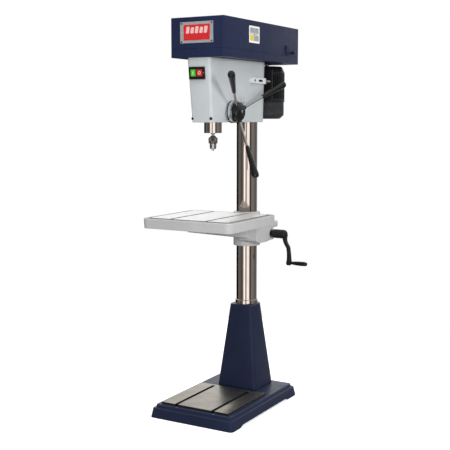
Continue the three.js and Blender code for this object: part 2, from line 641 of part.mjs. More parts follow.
function buildDrive() {
  const { low, step, groove } = WHEEL;
  const wheels = {
    spindle: { y: SPINDLE_Y, radii: [74, 62, 50, 38], bore: 11.5 },
    idler: { y: IDLER_Y, radii: [40, 52, 64, 76], bore: 10.5 },
    motor: { y: MOTOR.y, radii: [64, 52, 40, 28], bore: 0 },
  };
  for (const [name, { y, radii, bore }] of Object.entries(wheels)) {
    let wheel = turned('z', stepPulley(radii, bore), [0, y], 16);
    if (name === 'motor') wheel = union(wheel, rod('z', 9, MOTOR.top + 2, low + 1, [0, y]));
    if (name === 'spindle') wheel = union(wheel, turned('z', tube(bore, 18, 1470, low + 1), [0, y], 16));
    piece(`${name}_pulley`, aluminium, wheel);
  }
  piece('idler_shaft', groundSteel, union(
    rod('z', 10, 1455, 1645, [0, IDLER_Y], 24),
    rod('z', 15, 1645, 1650, [0, IDLER_Y], 24),
  ));
  const belts = [
    { name: 'front_belt', level: 1, a: wheels.spindle, b: wheels.idler },
    { name: 'rear_belt', level: 2, a: wheels.idler, b: wheels.motor },
  ];
  for (const { name, level, a, b } of belts) {
    const mid = low + (level + 0.5) * step;
    const loop = (grow) => beltLoop(a.y, a.radii[level] - groove + grow, b.y, b.radii[level] - groove + grow);
    piece(name, rubber, prism('z', loop(8.5), mid - 2.7, mid + 2.7, [loop(0.5)]));
  }
}

// ---- motor --------------------------------------------------------------------------------
function buildMotor() {
  const { y, r, bottom, split, top } = MOTOR;
  const at = [0, y];
  const body = turned('z', [
    [0, split + GAP], [r, split + GAP], [r, 1470], [r - 12, top], [0, top],
  ], at, 40);
  const feet = block(-46, 46, 104.3, 150, 1352, 1462);
  piece('motor_body', blackPaint, union(body, feet));
  piece('motor_fan_cover', blackPaint, turned('z', [
    [0, bottom], [r - 20, bottom], [r - 3, bottom + 18], [r - 3, split], [r - 6, split], [r - 6, bottom + 20],
    [r - 22, bottom + 3], [0, bottom + 3],
  ], at, 28));
  piece('junction_box', blackPaint, cut(
    prism('z', roundRect(-96, -60, 162, 218, 6, 2), 1372, 1462),
    rod('z', r + 0.4, 1371, 1463, at, 40),
  ));
  const plate = block(-74, 74, 94, 104, 1345, 1480);
  piece('motor_plate', blackPaint, cut(
    plate,
    rod('y', BAR.r - 1.6, 90, 110, [BAR.x, BAR.z], 24),
    rod('y', BAR.r - 1.6, 90, 110, [-BAR.x, BAR.z], 24),
  ));
  for (const [side, name] of [[-1, 'left'], [1, 'right']]) {
    const centre = [side * BAR.x, BAR.z];
    piece(`slide_bar_${name}`, groundSteel, union(
      rod('y', BAR.r, -40, 93.7, centre, 24),
      rod('y', BAR.r - 2, 93, 103.6, centre, 24),
    ));
  }
}

buildBase();
buildFoot();
buildColumn();
buildBracket();
buildTable();
buildLift();
buildHead();
buildCover();
buildSwitch();
buildSpindle();
buildChuck();
buildFeed();
buildDrive();
buildMotor();

export default press;
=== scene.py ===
"""Looks of a floor-standing drill press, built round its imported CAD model. Lengths are in metres."""

import json
import math

import bmesh
import bpy
import numpy as np
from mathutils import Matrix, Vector


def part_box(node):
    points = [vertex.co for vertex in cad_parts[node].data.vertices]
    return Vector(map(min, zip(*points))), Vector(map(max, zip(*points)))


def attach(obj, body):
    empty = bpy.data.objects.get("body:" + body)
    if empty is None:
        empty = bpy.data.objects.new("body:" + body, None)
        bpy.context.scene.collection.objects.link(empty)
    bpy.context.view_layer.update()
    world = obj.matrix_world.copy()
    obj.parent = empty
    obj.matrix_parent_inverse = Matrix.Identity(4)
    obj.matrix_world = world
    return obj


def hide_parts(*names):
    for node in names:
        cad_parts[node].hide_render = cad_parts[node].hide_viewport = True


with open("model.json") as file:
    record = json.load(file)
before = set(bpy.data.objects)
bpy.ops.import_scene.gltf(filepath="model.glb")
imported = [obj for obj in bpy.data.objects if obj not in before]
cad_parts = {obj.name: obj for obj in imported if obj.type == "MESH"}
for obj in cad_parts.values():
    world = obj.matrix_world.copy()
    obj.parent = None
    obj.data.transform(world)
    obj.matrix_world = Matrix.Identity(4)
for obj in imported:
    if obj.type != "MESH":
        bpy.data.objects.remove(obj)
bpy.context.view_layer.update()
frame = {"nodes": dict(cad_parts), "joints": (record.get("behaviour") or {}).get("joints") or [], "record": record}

MM = 0.001
TURN = 2 * np.pi
JOINT = {joint["name"]: joint for joint in frame["joints"]}
NODE = frame["nodes"]
BODY_OF = {node: body for body, nodes in frame["record"]["behaviour"]["bodies"].items() for node in nodes}

# ---- driving dimensions ---------------------------------------------------------------------

CREASE = 34                          # degrees; a sharper corner stays a crease in the shading
FACE_DEPTH = 0.5 * MM                # how near its top a face lies to belong to a ground land
# Just outside the base's ground land, and just outside the table's trough.
LAND = {"half": 163.5 * MM, "front": -456.5 * MM, "back": -124.5 * MM}
TROUGH = {"half": 194.5 * MM, "front": -503.5 * MM, "back": -136.5 * MM, "depth": 21 * MM}
SLOT_FLOOR = 44.5 * MM               # just under the floors of the base's T-slots
PAINTED = 54 * MM                    # an upward face above this, beside the land, is painted
COLUMN_WALL = 5 * MM
RING_GAP = 0.6 * MM                  # between the column and the rack's ring
CRANK_ARM_X = 158                    # mm; where the crank's arm leaves its hub
CRANK_EYE_X = 167 * MM
HEAD_LEAN = 26 * MM                  # how far the head's front runs back from its top to its bottom
HEAD_PLUG = {"x": 44 * MM, "z": 1262 * MM, "turn": 0.35}
SLIDE_LUG = {"back": 20, "front": -102, "half": 12, "thick": 16}         # mm
SCREW_RECESS = ((0.62, 0.13), (0.13, 0.62))   # half sizes of the cross's bars, as shares of the radius
BADGE_PANEL = {"left": -61, "right": 62, "half": 31}                     # mm
BADGE_BARS = {"first": -50, "step": 21, "width": 15, "lean": 4, "foot": -4, "tops": (20, 23)}    # mm
BADGE_SCREW = {"x": 71 * MM, "z": 36 * MM}
LABEL = {"front": -213 * MM, "back": -122 * MM, "low": 1575 * MM, "high": 1644 * MM}
CHUCK_TEETH = 30                     # of the key's gear, round the sleeve
CHUCK_KNURLS = 90
DIAL_MARKS = 100
LEVER_COUNT = 3
LEVER_ANGLE = math.radians(-56.6)    # of the first lever, from straight up
LEVER_SPLAY = math.atan2(92, 250)    # how far the levers lean away from the head
LEVER_ROOT = {"x": 98 * MM, "radius": 30 * MM}
MOTOR_FINS = 48
FAN_VENTS = 36
MOTOR_FOOT = {"z": 1407 * MM, "spread": 38 * MM, "back": 150 * MM}


# ---- meshes ---------------------------------------------------------------------------------

def low(node):
    return np.array(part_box(node)[0])


def high(node):
    return np.array(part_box(node)[1])


def middle(node):
    return (low(node) + high(node)) / 2


def place(obj, material, body, replaces=(), crease=CREASE):
    """Finishes a piece: smooth shading with sharp creases, its material, the body it rides on."""
    mesh = obj.data
    mesh.polygons.foreach_set("use_smooth", np.ones(len(mesh.polygons), bool))
    mesh.set_sharp_from_angle(angle=math.radians(crease))
    if not mesh.materials:
        mesh.materials.append(material)
    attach(obj, body)
    if replaces:
        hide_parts(*replaces)
    return obj


def new_object(name, points, quads, caps=()):
    """Makes an object from points, quads and end caps, joins doubled points and turns faces outwards."""
    mesh = bpy.data.meshes.new(name)
    mesh.from_pydata(points.tolist(), [], quads.tolist() + [list(cap) for cap in caps])
    bm = bmesh.new()
    bm.from_mesh(mesh)
    bmesh.ops.remove_doubles(bm, verts=bm.verts, dist=1e-6)
    bmesh.ops.recalc_face_normals(bm, faces=bm.faces)
    bm.to_mesh(mesh)
    bm.free()
    obj = bpy.data.objects.new(name, mesh)
    bpy.context.scene.collection.objects.link(obj)
    return obj


def grid_faces(rows, columns, wrap_rows=False):
    """Quads between neighbouring rows and columns of a grid of points numbered row by row. Each row
    closes on itself, and with wrap_rows the last row joins the first."""
    index = np.arange(rows * columns).reshape(rows, columns)
    if wrap_rows:
        index = np.vstack([index, index[:1]])
    index = np.hstack([index, index[:, :1]])
    corners = [index[:-1, :-1], index[:-1, 1:], index[1:, 1:], index[1:, :-1]]
    return np.stack(corners, -1).reshape(-1, 4)


def softened(outline, radius, steps=4, closed=False):
    """Rounds each corner: a quadratic curve leaves one side `radius` before the corner and joins the next
    after it. Two more points on each straight run, close to its ends, keep the shading of the run flat."""
    p = np.asarray(outline, float)
    to_before = np.roll(p, 1, 0) - p
    to_after = np.roll(p, -1, 0) - p
    a = np.linalg.norm(to_before, axis=1, keepdims=True)
    b = np.linalg.norm(to_after, axis=1, keepdims=True)
    start = p + to_before * np.minimum(radius / np.maximum(a, 1e-9), 0.45)
    end = p + to_after * np.minimum(radius / np.maximum(b, 1e-9), 0.45)
    t = np.linspace(0, 1, steps + 1)[None, :, None]
    curve = (1 - t) ** 2 * start[:, None] + 2 * t * (1 - t) * p[:, None] + t ** 2 * end[:, None]
    run = np.roll(start, -1, 0) - end
    share = np.minimum(0.5 * radius / np.maximum(np.linalg.norm(run, axis=1, keepdims=True), 1e-9), 0.3)
    guards = np.stack([end + run * share, end + run * (1 - share)], 1)
    rows = np.concatenate([curve, guards], 1)
    if closed:
        return rows.reshape(-1, p.shape[1])
    lead = start[1:2] + (p[:1] - start[1:2]) * share[:1]
    return np.vstack([p[:1], lead, rows[1:-1].reshape(-1, p.shape[1]), p[-1:]])


def frame_about(aim):
    """Two unit vectors square to the aim and to each other, and the aim as a unit vector."""
    aim = np.asarray(aim, float) / np.linalg.norm(aim)
    helper = np.array([0.0, 0.0, 1.0]) if abs(aim[2]) < 0.9 else np.array([0.0, 1.0, 0.0])
    side = np.cross(helper, aim)
    side /= np.linalg.norm(side)
    return side, np.cross(aim, side), aim


def revolved(name, outline, start, aim, segments=64, radial=None, closed=False):
    """A turned surface. At angle a and outline point (r, s) it is start + s * aim
    + (r + radial(a, s, r)) * (cos a * side + sin a * up), where side and up are square to aim."""
    outline = np.asarray(outline, float)
    side, up, aim = frame_about(aim)
    angle = np.linspace(0, TURN, segments, endpoint=False)[None, :]
    r, s = outline[:, :1], outline[:, 1:]
    radius = r + (radial(angle, s, r) if radial else 0.0)
    across = np.cos(angle)[..., None] * side + np.sin(angle)[..., None] * up
    points = np.asarray(start, float) + radius[..., None] * across + s[..., None] * aim
    return new_object(name, points.reshape(-1, 3), grid_faces(len(outline), segments, wrap_rows=closed))


def carried(name, section, path, up_hint, closed=False, scale=None):
    """A section carried along a path. Its point (a, b) lands on path + scale * (a * across + b * up),
    where across is square to the path's direction and to up_hint, and up is square to both."""
    path = np.asarray(path, float)
    ahead = np.roll(path, -1, 0) - np.roll(path, 1, 0)
    if not closed:
        ahead[0] = path[1] - path[0]
        ahead[-1] = path[-1] - path[-2]
    ahead /= np.linalg.norm(ahead, axis=1, keepdims=True)
    across = np.cross(ahead, up_hint)
    across /= np.linalg.norm(across, axis=1, keepdims=True)
    up = np.cross(across, ahead)
    factor = np.ones(len(path)) if scale is None else np.asarray(scale, float)
    section = np.asarray(section, float)
    a = section[None, :, :1] * factor[:, None, None]
    b = section[None, :, 1:] * factor[:, None, None]
    points = path[:, None] + a * across[:, None] + b * up[:, None]
    count = len(section)
    last = (len(path) - 1) * count
    caps = () if closed else (range(count), range(last, last + count))
    return new_object(name, points.reshape(-1, 3), grid_faces(len(path), count, wrap_rows=closed), caps)


def slab(name, outline, lift, origin, across, up, soft=0.0):
    """A flat plate. Outline point (a, b) at height h is origin + a * across + b * up + h * out, for h of 0,
    lift - soft and lift, and the top layer is drawn in towards the middle by `soft`."""
    outline = np.asarray(outline, float)
    across, up = np.asarray(across, float), np.asarray(up, float)
    out = np.cross(across, up)
    centre = outline.mean(0)
    pulled = outline + (centre - outline) * (soft / np.maximum(np.abs(outline - centre).max(), 1e-9))
    layers = [(outline, 0.0), (outline, lift - soft), (pulled, lift)]
    points = [np.asarray(origin, float) + o[:, :1] * across + o[:, 1:] * up + h * out for o, h in layers]
    count = len(outline)
    caps = (range(count), range(2 * count, 3 * count))
    return new_object(name, np.vstack(points), grid_faces(len(layers), count), caps)


def side_slab(name, outline, lift, x, soft=0.0):
    """A plate on a face that looks along +X, its outline given in (y, z)."""
    return slab(name, outline, lift, [x, 0, 0], [0, 1, 0], [0, 0, 1], soft)


def ring_of(radius, count=48, centre=(0.0, 0.0)):
    """Points evenly round a circle."""
    angle = np.linspace(0, TURN, count, endpoint=False)
    return np.stack([centre[0] + radius * np.cos(angle), centre[1] + radius * np.sin(angle)], 1)


def rectangle(x0, x1, y0, y1, radius=0.0):
    corners = np.array([[x0, y0], [x1, y0], [x1, y1], [x0, y1]])
    return softened(corners, radius, 5, closed=True) if radius else corners


def upright(radius, first, last, count):
    """Outline points straight up a turned side, close enough for a radial pattern to follow."""
    return np.stack([np.full(count, radius), np.linspace(first, last, count)], 1)


def merged_copy(node):
    """An object with a CAD node's mesh, its loose triangles joined and its flat faces made whole."""
    mesh = bpy.data.meshes.new(node + "_eased")
    bm = bmesh.new()
    bm.from_mesh(NODE[node].data)
    bmesh.ops.remove_doubles(bm, verts=bm.verts, dist=2e-5)
    bmesh.ops.dissolve_limit(bm, angle_limit=math.radians(0.6), verts=bm.verts, edges=bm.edges)
    bm.to_mesh(mesh)
    bm.free()
    mesh.materials.clear()
    obj = bpy.data.objects.new(node + "_eased", mesh)
    bpy.context.scene.collection.objects.link(obj)
    return obj


def paint_zones(mesh, zones):
    """Gives the faces whose centre and normal pass a zone's test that zone's material."""
    centre = np.empty(len(mesh.polygons) * 3)
    normal = np.empty(len(mesh.polygons) * 3)
    mesh.polygons.foreach_get("center", centre)
    mesh.polygons.foreach_get("normal", normal)
    index = np.zeros(len(mesh.polygons), np.int32)
    for test, material in zones:
        mesh.materials.append(material)
        index[test(centre.reshape(-1, 3), normal.reshape(-1, 3))] = len(mesh.materials) - 1
    mesh.polygons.foreach_set("material_index", index)


def eased(node, material, edge=1.5, zones=(), segments=3):
    """Stands in for a CAD node with its edges rounded by `edge` millimetres."""
    obj = merged_copy(node)
    obj.data.materials.append(material)
    if zones:
        paint_zones(obj.data, zones)
    place(obj, material, BODY_OF[node], (node,))
    bevel = obj.modifiers.new("edges", "BEVEL")
    bevel.width = edge * MM
    bevel.segments = segments
    bevel.limit_method = "ANGLE"
    bevel.angle_limit = math.radians(CREASE)
    bevel.harden_normals = True
    bevel.use_clamp_overlap = False
    return obj


# ---- materials ------------------------------------------------------------------------------

def colour(code):
    """An sRGB hex colour as linear red, green, blue and 1."""
    value = np.array([int(code[i:i + 2], 16) for i in (1, 3, 5)]) / 255
    linear = np.where(value <= 0.04045, value / 12.92, ((value + 0.055) / 1.055) ** 2.4)
    return (*linear.tolist(), 1.0)


def add(tree, kind, links=None, sockets=None, **settings):
    """Adds one node: its own settings, its socket values, and links from other nodes' outputs."""
    node = tree.nodes.new(kind)
    for key, value in settings.items():
        setattr(node, key, value)
    for key, value in (sockets or {}).items():
        node.inputs[key].default_value = value
    for key, output in (links or {}).items():
        tree.links.new(output, node.inputs[key])
    return node


def blank(name, **sockets):
    """A material with one Principled shader, and its object coordinates."""
    material = bpy.data.materials.new(name)
    material.use_nodes = True
    tree = material.node_tree
    shader = tree.nodes["Principled BSDF"]
    for key, value in sockets.items():
        shader.inputs[key.replace("_", " ")].default_value = value
    where = add(tree, "ShaderNodeTexCoord").outputs["Object"]
    return material, tree, shader, where


def noise(tree, where, size_mm, detail=2.0, stretch=(1, 1, 1)):
    """Noise whose grains are about size_mm across, drawn longer by the stretch along each axis."""
    scaled = add(tree, "ShaderNodeMapping", {"Vector": where}, {"Scale": [1 / s for s in stretch]})
    grain = {"Scale": 1 / (size_mm * MM), "Detail": detail}
    return add(tree, "ShaderNodeTexNoise", {"Vector": scaled.outputs["Vector"]}, grain).outputs["Fac"]


def spread(tree, value, lowest, highest, start=0.3, end=0.7):
    """Maps the middle of a noise, where nearly all of it lies, to a range."""
    limits = {"From Min": start, "From Max": end, "To Min": lowest, "To Max": highest}
    return add(tree, "ShaderNodeMapRange", {"Value": value}, limits).outputs["Result"]


def tint(tree, factor, first, second):
    """A colour between two hex colours."""
    ends = {"A": colour(first), "B": colour(second)}
    return add(tree, "ShaderNodeMix", {"Factor": factor}, ends, data_type="RGBA").outputs["Result"]


def relief(tree, shader, height, depth_mm, strength=1.0, under=None):
    """Bump of a real depth on the shader's normal, laid over an earlier bump where one is given."""
    links = {"Height": height}
    if under:
        links["Normal"] = under
    bump = add(tree, "ShaderNodeBump", links, {"Distance": depth_mm * MM, "Strength": strength})
    tree.links.new(bump.outputs["Normal"], shader.inputs["Normal"])
    return bump.outputs["Normal"]


def enamel_on_casting(name, main, shade, roughness, grain_mm, depth_mm):
    """Sprayed enamel over filled cast iron: soft hollows of the casting under a fine orange peel."""
    material, tree, shader, where = blank(name, Specular_IOR_Level=0.3)
    cloud = noise(tree, where, 90, 3)
    tree.links.new(tint(tree, spread(tree, cloud, 0, 1), main, shade), shader.inputs["Base Color"])
    patches = noise(tree, where, 35, 2)
    tree.links.new(spread(tree, patches, roughness - 0.04, roughness + 0.06), shader.inputs["Roughness"])
    hollows = relief(tree, shader, noise(tree, where, grain_mm, 3), depth_mm)
    relief(tree, shader, noise(tree, where, 1.6, 1), 0.03, 0.6, under=hollows)
    return material


def enamel_on_sheet(name, main, shade, roughness):
    """Powder coat on pressed steel: even colour, and a fine even orange peel of about 2 mm."""
    material, tree, shader, where = blank(name, Specular_IOR_Level=0.2)
    cloud = noise(tree, where, 160, 2)
    tree.links.new(tint(tree, spread(tree, cloud, 0, 1), main, shade), shader.inputs["Base Color"])
    patches = noise(tree, where, 50, 2)
    tree.links.new(spread(tree, patches, roughness - 0.03, roughness + 0.04), shader.inputs["Roughness"])
    wave = relief(tree, shader, noise(tree, where, 120, 1), 0.5, 0.5)
    relief(tree, shader, noise(tree, where, 2.2, 1), 0.02, 0.8, under=wave)
    return material


def ground_face(name, main, shade, stretch, roughness=0.3):
    """Surface-ground metal with fine grinding lines. Real ones are too fine to show, so they are
    drawn 0.8 mm apart."""
    material, tree, shader, where = blank(name, Metallic=1.0)
    lines = noise(tree, where, 0.8, 2, stretch)
    cloud = noise(tree, where, 60, 3)
    tree.links.new(tint(tree, spread(tree, cloud, 0, 1), main, shade), shader.inputs["Base Color"])
    tree.links.new(spread(tree, lines, roughness - 0.08, roughness + 0.12), shader.inputs["Roughness"])
    relief(tree, shader, lines, 0.02, 0.7)
    return material


def turned_steel(name, main, shade, roughness, axis=2, ring_mm=0.7, depth_mm=0.008):
    """Turned or centreless-ground steel. Its rings run round the axis, 0 for X or 2 for Z, and are drawn
    about 0.7 mm wide, coarser than real ones, so that they show."""
    material, tree, shader, where = blank(name, Metallic=1.0)
    stretch = [60, 60, 60]
    stretch[axis] = 1
    rings = noise(tree, where, ring_mm, 2, stretch)
    cloud = noise(tree, where, 45, 3)
    tree.links.new(tint(tree, spread(tree, cloud, 0, 1), main, shade), shader.inputs["Base Color"])
    tree.links.new(spread(tree, rings, roughness - 0.03, roughness + 0.05), shader.inputs["Roughness"])
    relief(tree, shader, rings, depth_mm, 0.6)
    return material


def moulded(name, main, roughness, grain_mm=0.8, depth_mm=0.01):
    """Moulded phenolic or ABS: even colour, smooth skin with the faint texture of its mould."""
    material, tree, shader, where = blank(name, Base_Color=colour(main))
    patches = noise(tree, where, 18, 2)
    tree.links.new(spread(tree, patches, roughness - 0.04, roughness + 0.06), shader.inputs["Roughness"])
    relief(tree, shader, noise(tree, where, grain_mm, 2), depth_mm, 0.6)
    return material


def printed(name, main, roughness=0.35):
    """Ink or vinyl film: even colour with a faint mottle of its gloss."""
    material, tree, shader, where = blank(name, Base_Color=colour(main))
    mottle = spread(tree, noise(tree, where, 9, 2), roughness - 0.05, roughness + 0.05)
    tree.links.new(mottle, shader.inputs["Roughness"])
    relief(tree, shader, noise(tree, where, 1.2, 1), 0.005, 0.5)
    return material


# Powder coat on the belt case: an even, deep navy with a wide soft gloss.
navy_sheet = enamel_on_sheet("navy_powder_coat", "#1b2340", "#1f2846", 0.42)
# The same navy sprayed on the cast base and foot: a tighter gloss, broken by shallow hollows.
navy_cast = enamel_on_casting("navy_enamel", "#19213c", "#1e2742", 0.38, 14, 0.35)
# Light grey enamel on the head: cool, slightly green, and satin.
grey_cast = enamel_on_casting("light_grey_enamel", "#c9ced1", "#c2c7ca", 0.34, 16, 0.3)
# A thicker, whiter coat on the belt slide's lug, which stands out from the head.
lug_enamel = enamel_on_casting("fresh_grey_enamel", "#e6e8ea", "#dfe1e3", 0.36, 16, 0.2)
# Neutral grey enamel on the table and its bracket.
table_cast = enamel_on_casting("table_grey_enamel", "#c8c8c9", "#c1c1c2", 0.36, 16, 0.3)
# Black enamel on castings: a dark skin that shows its edges by their shine.
black_cast = enamel_on_casting("black_enamel", "#141517", "#1b1c1f", 0.38, 10, 0.2)
# Satin coat on the motor's pressed covers: a charcoal, paler than the cast shell beside it.
grey_black = enamel_on_sheet("satin_black_coat", "#303133", "#38393b", 0.4)
# Ground and oiled iron on the base's land: warm grey, with lines along X.
base_ground = ground_face("ground_iron", "#9e9990", "#8b867d", (40, 1, 1), 0.32)
# Painted shade in the coolant trough and on the walls of the table's T-slots: the table's enamel made a duller,
# darker grey that draws the trough as a line.
painted_trough_shade = enamel_on_casting("trough_enamel", "#8d8e90", "#858688", 0.45, 16, 0.3)
# Fresh ground iron on the table: nearly white, with a broad sheen.
table_ground = ground_face("bright_ground_iron", "#f6f6f5", "#ececeb", (40, 1, 1), 0.5)
# Centreless-ground column: a near mirror, a little warm, that shows the room as upright bands.
column_steel = turned_steel("ground_column_steel", "#cdbfb6", "#c6b8af", 0.07, 2, 5.0, 0.001)
# Turned steel round upright and crosswise axes: bright, with its highlight spread by the rings.
bright_steel = turned_steel("turned_steel_z", "#bcb6b1", "#a9a39e", 0.22, 2)
bright_steel_x = turned_steel("turned_steel_x", "#bcb6b1", "#a9a39e", 0.22, 0)
# Hardened steel of the chuck's sleeve: darker, with a sharper highlight.
chuck_steel = turned_steel("chuck_sleeve_steel", "#7d7976", "#6d6966", 0.16, 2)
# Oiled steel of bolts, jaws and rack: dark and soft in its gloss.
dark_steel = turned_steel("oiled_steel", "#6f6a66", "#5c5855", 0.32, 2)
# Chrome plate on the dial and on the lever rods: cool and sharp, with almost no rings left.
chrome_x = turned_steel("chrome_plate", "#dcdee0", "#d2d4d7", 0.09, 0, 0.7, 0.003)
chrome_rod = turned_steel("chrome_plated_rod", "#bdbcbb", "#b0afae", 0.1, 2, 0.7, 0.003)
# Cast and turned aluminium of the belt wheels: pale and matt, with coarse rings.
cast_aluminium = turned_steel("cast_aluminium", "#c9cbcd", "#b7b9bc", 0.34, 2, 1.0, 0.02)
# Brushed aluminium of the badge's frame: pale, with a wide highlight across the brushing.
brushed_badge = ground_face("brushed_aluminium", "#eceef0", "#dfe1e3", (40, 40, 1), 0.5)
# Polished phenolic of grips and hub: black with a tight, wet highlight.
phenolic = moulded("black_phenolic", "#08090a", 0.16, 0.8, 0.004)
# Moulded ABS of the switch frame and of small knobs, and of the two buttons: satin.
black_abs = moulded("black_abs", "#101113", 0.32)
green_abs = moulded("green_abs", "#58c22a", 0.3)
red_abs = moulded("red_abs", "#c42c27", 0.3)
# Rubber of the belts: dull, with a visible grain.
belt_rubber = moulded("belt_rubber", "#17181a", 0.75, 1.5, 0.08)
# Inks and films of the badge, the buttons' marks and the label.
red_ink = printed("red_enamel_ink", "#c9262b", 0.3)
white_ink = printed("white_ink", "#f1efec", 0.4)
pale_ink = printed("pale_pink_ink", "#e9b9b4", 0.4)
grey_ink = printed("grey_ink", "#9a9ea3", 0.45)
dark_ink = printed("dark_ink", "#3c4046", 0.45)
cream_vinyl = printed("cream_vinyl", "#fbfaf4", 0.4)
amber_ink = printed("amber_ink", "#e2c558", 0.45)
# Painted shade: flat near-black pieces that stand for the dark inside of small holes and screw recesses.
painted_hole_shade = moulded("bore_shadow", "#050506", 0.8)
# Bare iron of the land's sides and inside the base's T-slots, made near black as painted shadow.
shadow_black = moulded("unpainted_dark_iron", "#0c0d10", 0.6)


# ---- stand and table ------------------------------------------------------------------------

def inside(centre, area):
    """Faces over a rectangle that is centred across the machine."""
    y = centre[:, 1]
    return (np.abs(centre[:, 0]) < area["half"]) & (y > area["front"]) & (y < area["back"])


def is_base_land(centre, normal):
    """The base's ground land: upward faces above the painted platform."""
    return (normal[:, 2] > 0.9) & (centre[:, 2] > high("base_casting")[2] - FACE_DEPTH)


def is_land_side(centre, normal):
    """The land's own sides and the walls of its T-slots: bare iron, which takes near black as painted shadow."""
    z = centre[:, 2]
    painted = (normal[:, 2] > 0.9) & (z > PAINTED)
    return inside(centre, LAND) & (z < high("base_casting")[2] - FACE_DEPTH) & (z > SLOT_FLOOR) & ~painted


def is_table_land(centre, normal):
    """The table's ground work face."""
    return (normal[:, 2] > 0.9) & (centre[:, 2] > high("table_top")[2] - FACE_DEPTH)


def is_trough(centre, normal):
    """The coolant trough's floor and walls, and the walls of the table's T-slots, which take painted shade."""
    below = high("table_top")[2] - centre[:, 2]
    return inside(centre, TROUGH) & (below > 2 * FACE_DEPTH) & (below < TROUGH["depth"])


def sleeve_outline(inner, outer, height):
    """The closed section of a plain tube, as (radius, station) points."""
    return [[inner, 0], [outer, 0], [outer, height], [inner, height]]


def build_stand():
    # The land's sides and T-slots take near black as painted shadow.
    eased("base_casting", navy_cast, 1.2, [(is_base_land, base_ground), (is_land_side, shadow_black)])
    eased("column_foot", navy_cast, 2.5)
    tube_low, tube_high = low("column_tube"), high("column_tube")
    radius = tube_high[0]
    outline = sleeve_outline(radius - COLUMN_WALL, radius, tube_high[2] - tube_low[2])
    column = revolved("column", softened(outline, 1 * MM, 2, closed=True), [0, 0, tube_low[2]], [0, 0, 1],
                      144, closed=True)
    place(column, column_steel, "stand", ("column_tube",))
    ring_low, ring_high = low("rack_ring"), high("rack_ring")
    outline = sleeve_outline(radius + RING_GAP, ring_high[0], ring_high[2] - ring_low[2])
    ring = revolved("rack_ring_turned", softened(outline, 1.2 * MM, 3, closed=True), [0, 0, ring_low[2]],
                    [0, 0, 1], 128, closed=True)
    place(ring, column_steel, "stand", ("rack_ring",))
    eased("column_rack", dark_steel, 0.25, segments=1)
    for i in (1, 2):
        eased(f"foot_bolt_{i}", dark_steel, 0.6)


def build_table():
    # The trough and the slot walls take a darker grey as painted shade.
    eased("table_top", table_cast, 1.2, [(is_table_land, table_ground), (is_trough, painted_trough_shade)])
    eased("table_bracket", table_cast, 2.0)
    eased("pinion_bush", bright_steel_x, 0.4)
    eased("table_pinion", bright_steel_x, 0.3, segments=2)
    eased("table_lock_handle", black_cast, 1.0)
    for i in (1, 2):
        eased(f"table_bolt_{i}", dark_steel, 0.6)


def build_crank():
    """The table's crank. Its arm drops from hub to eye while it swings out: x is a straight lean, less a
    sine over the first half, plus a slower sine over the whole; its section is slimmest half way."""
    shaft_y, shaft_z = JOINT["crank_turn"]["pos_m"][1:]
    eye_z = JOINT["crank_grip_spin"]["pos_m"][2]
    outline = np.array([[8.4, 0], [11, 0], [12, 6.4], [16, 7], [19, 11], [20, 20], [20, 60], [18.5, 68],
                        [14, 74], [0, 75.4]]) * MM
    hub = revolved("crank_hub", softened(outline, 1.5 * MM, 4), [low("table_crank")[0], shaft_y, shaft_z],
                   [1, 0, 0], 64)
    place(hub, black_cast, "crank", ("table_crank",))
    drop = np.linspace(0, 1, 60)
    bend = 9 * np.sin(np.pi * np.clip(drop * 2.2, 0, 1)) - 6 * np.sin(np.pi * drop)
    x = (CRANK_ARM_X + 20 * drop - bend) * MM
    path = np.stack([x, np.full_like(drop, shaft_y), shaft_z - (shaft_z - eye_z) * drop], 1)
    width = 1.1 - 0.28 * np.sin(np.pi * drop) ** 0.8
    section = softened(rectangle(-9 * MM, 9 * MM, -11 * MM, 11 * MM), 5 * MM, 5, closed=True)
    place(carried("crank_arm", section, path, [0, 1, 0], scale=width), black_cast, "crank")
    outline = np.array([[0, 0], [10, 0], [12, 2.5], [12, 15.5], [10, 18], [3.4, 18], [3.4, 95],
                        [0, 95]]) * MM
    eye = revolved("crank_eye", softened(outline, 1 * MM, 3), [CRANK_EYE_X, shaft_y, eye_z], [1, 0, 0], 48)
    place(eye, black_cast, "crank")
    grip_low, grip_high = low("crank_grip"), high("crank_grip")
    end = (grip_high[0] - grip_low[0]) / MM
    outline = np.array([[4, 0], [6.4, 0], [7.2, 4], [6.6, 7], [8.4, 18], [9.6, 38], [10, 54], [9.3, end - 8],
                        [7.4, end - 1], [0, end]]) * MM
    grip = revolved("crank_grip_turned", softened(outline, 3 * MM, 4), [grip_low[0], shaft_y, eye_z],
                    [1, 0, 0], 48)
    place(grip, phenolic, "crank_grip", ("crank_grip",))


# ---- head -----------------------------------------------------------------------------------

def head_tilt():
    """How far the head's front leans from upright, in radians."""
    return math.atan2(HEAD_LEAN, high("head_casting")[2] - low("head_casting")[2])


def head_front(z):
    """Where the head's leaning front is at a height."""
    return low("head_casting")[1] + (high("head_casting")[2] - z) * math.tan(head_tilt())


def build_head():
    eased("head_casting", grey_cast, 2.0)
    eased("spring_cap", black_cast, 1.2)
    eased("cord_gland", black_abs, 0.5)
    eased("tension_lock_knob", black_abs, 1.0)
    eased("dial_pointer", chrome_x, 0.4)
    z = HEAD_PLUG["z"]
    outline = np.array([[0, -2], [6.2, -2], [6.2, 0.8], [5.2, 1.8], [2.8, 1.8], [2.2, 0.8], [0, 0.8]]) * MM
    for i, side in enumerate((-1, 1)):
        start = [side * HEAD_PLUG["x"], head_front(z) + 1.2 * MM, z]
        aim = [side * HEAD_PLUG["turn"], -1, -0.1]
        plug = revolved(f"head_plug_{i + 1}", softened(outline, 0.4 * MM, 3), start, aim, 32)
        place(plug, black_abs, "stand")
    build_slide_lug()


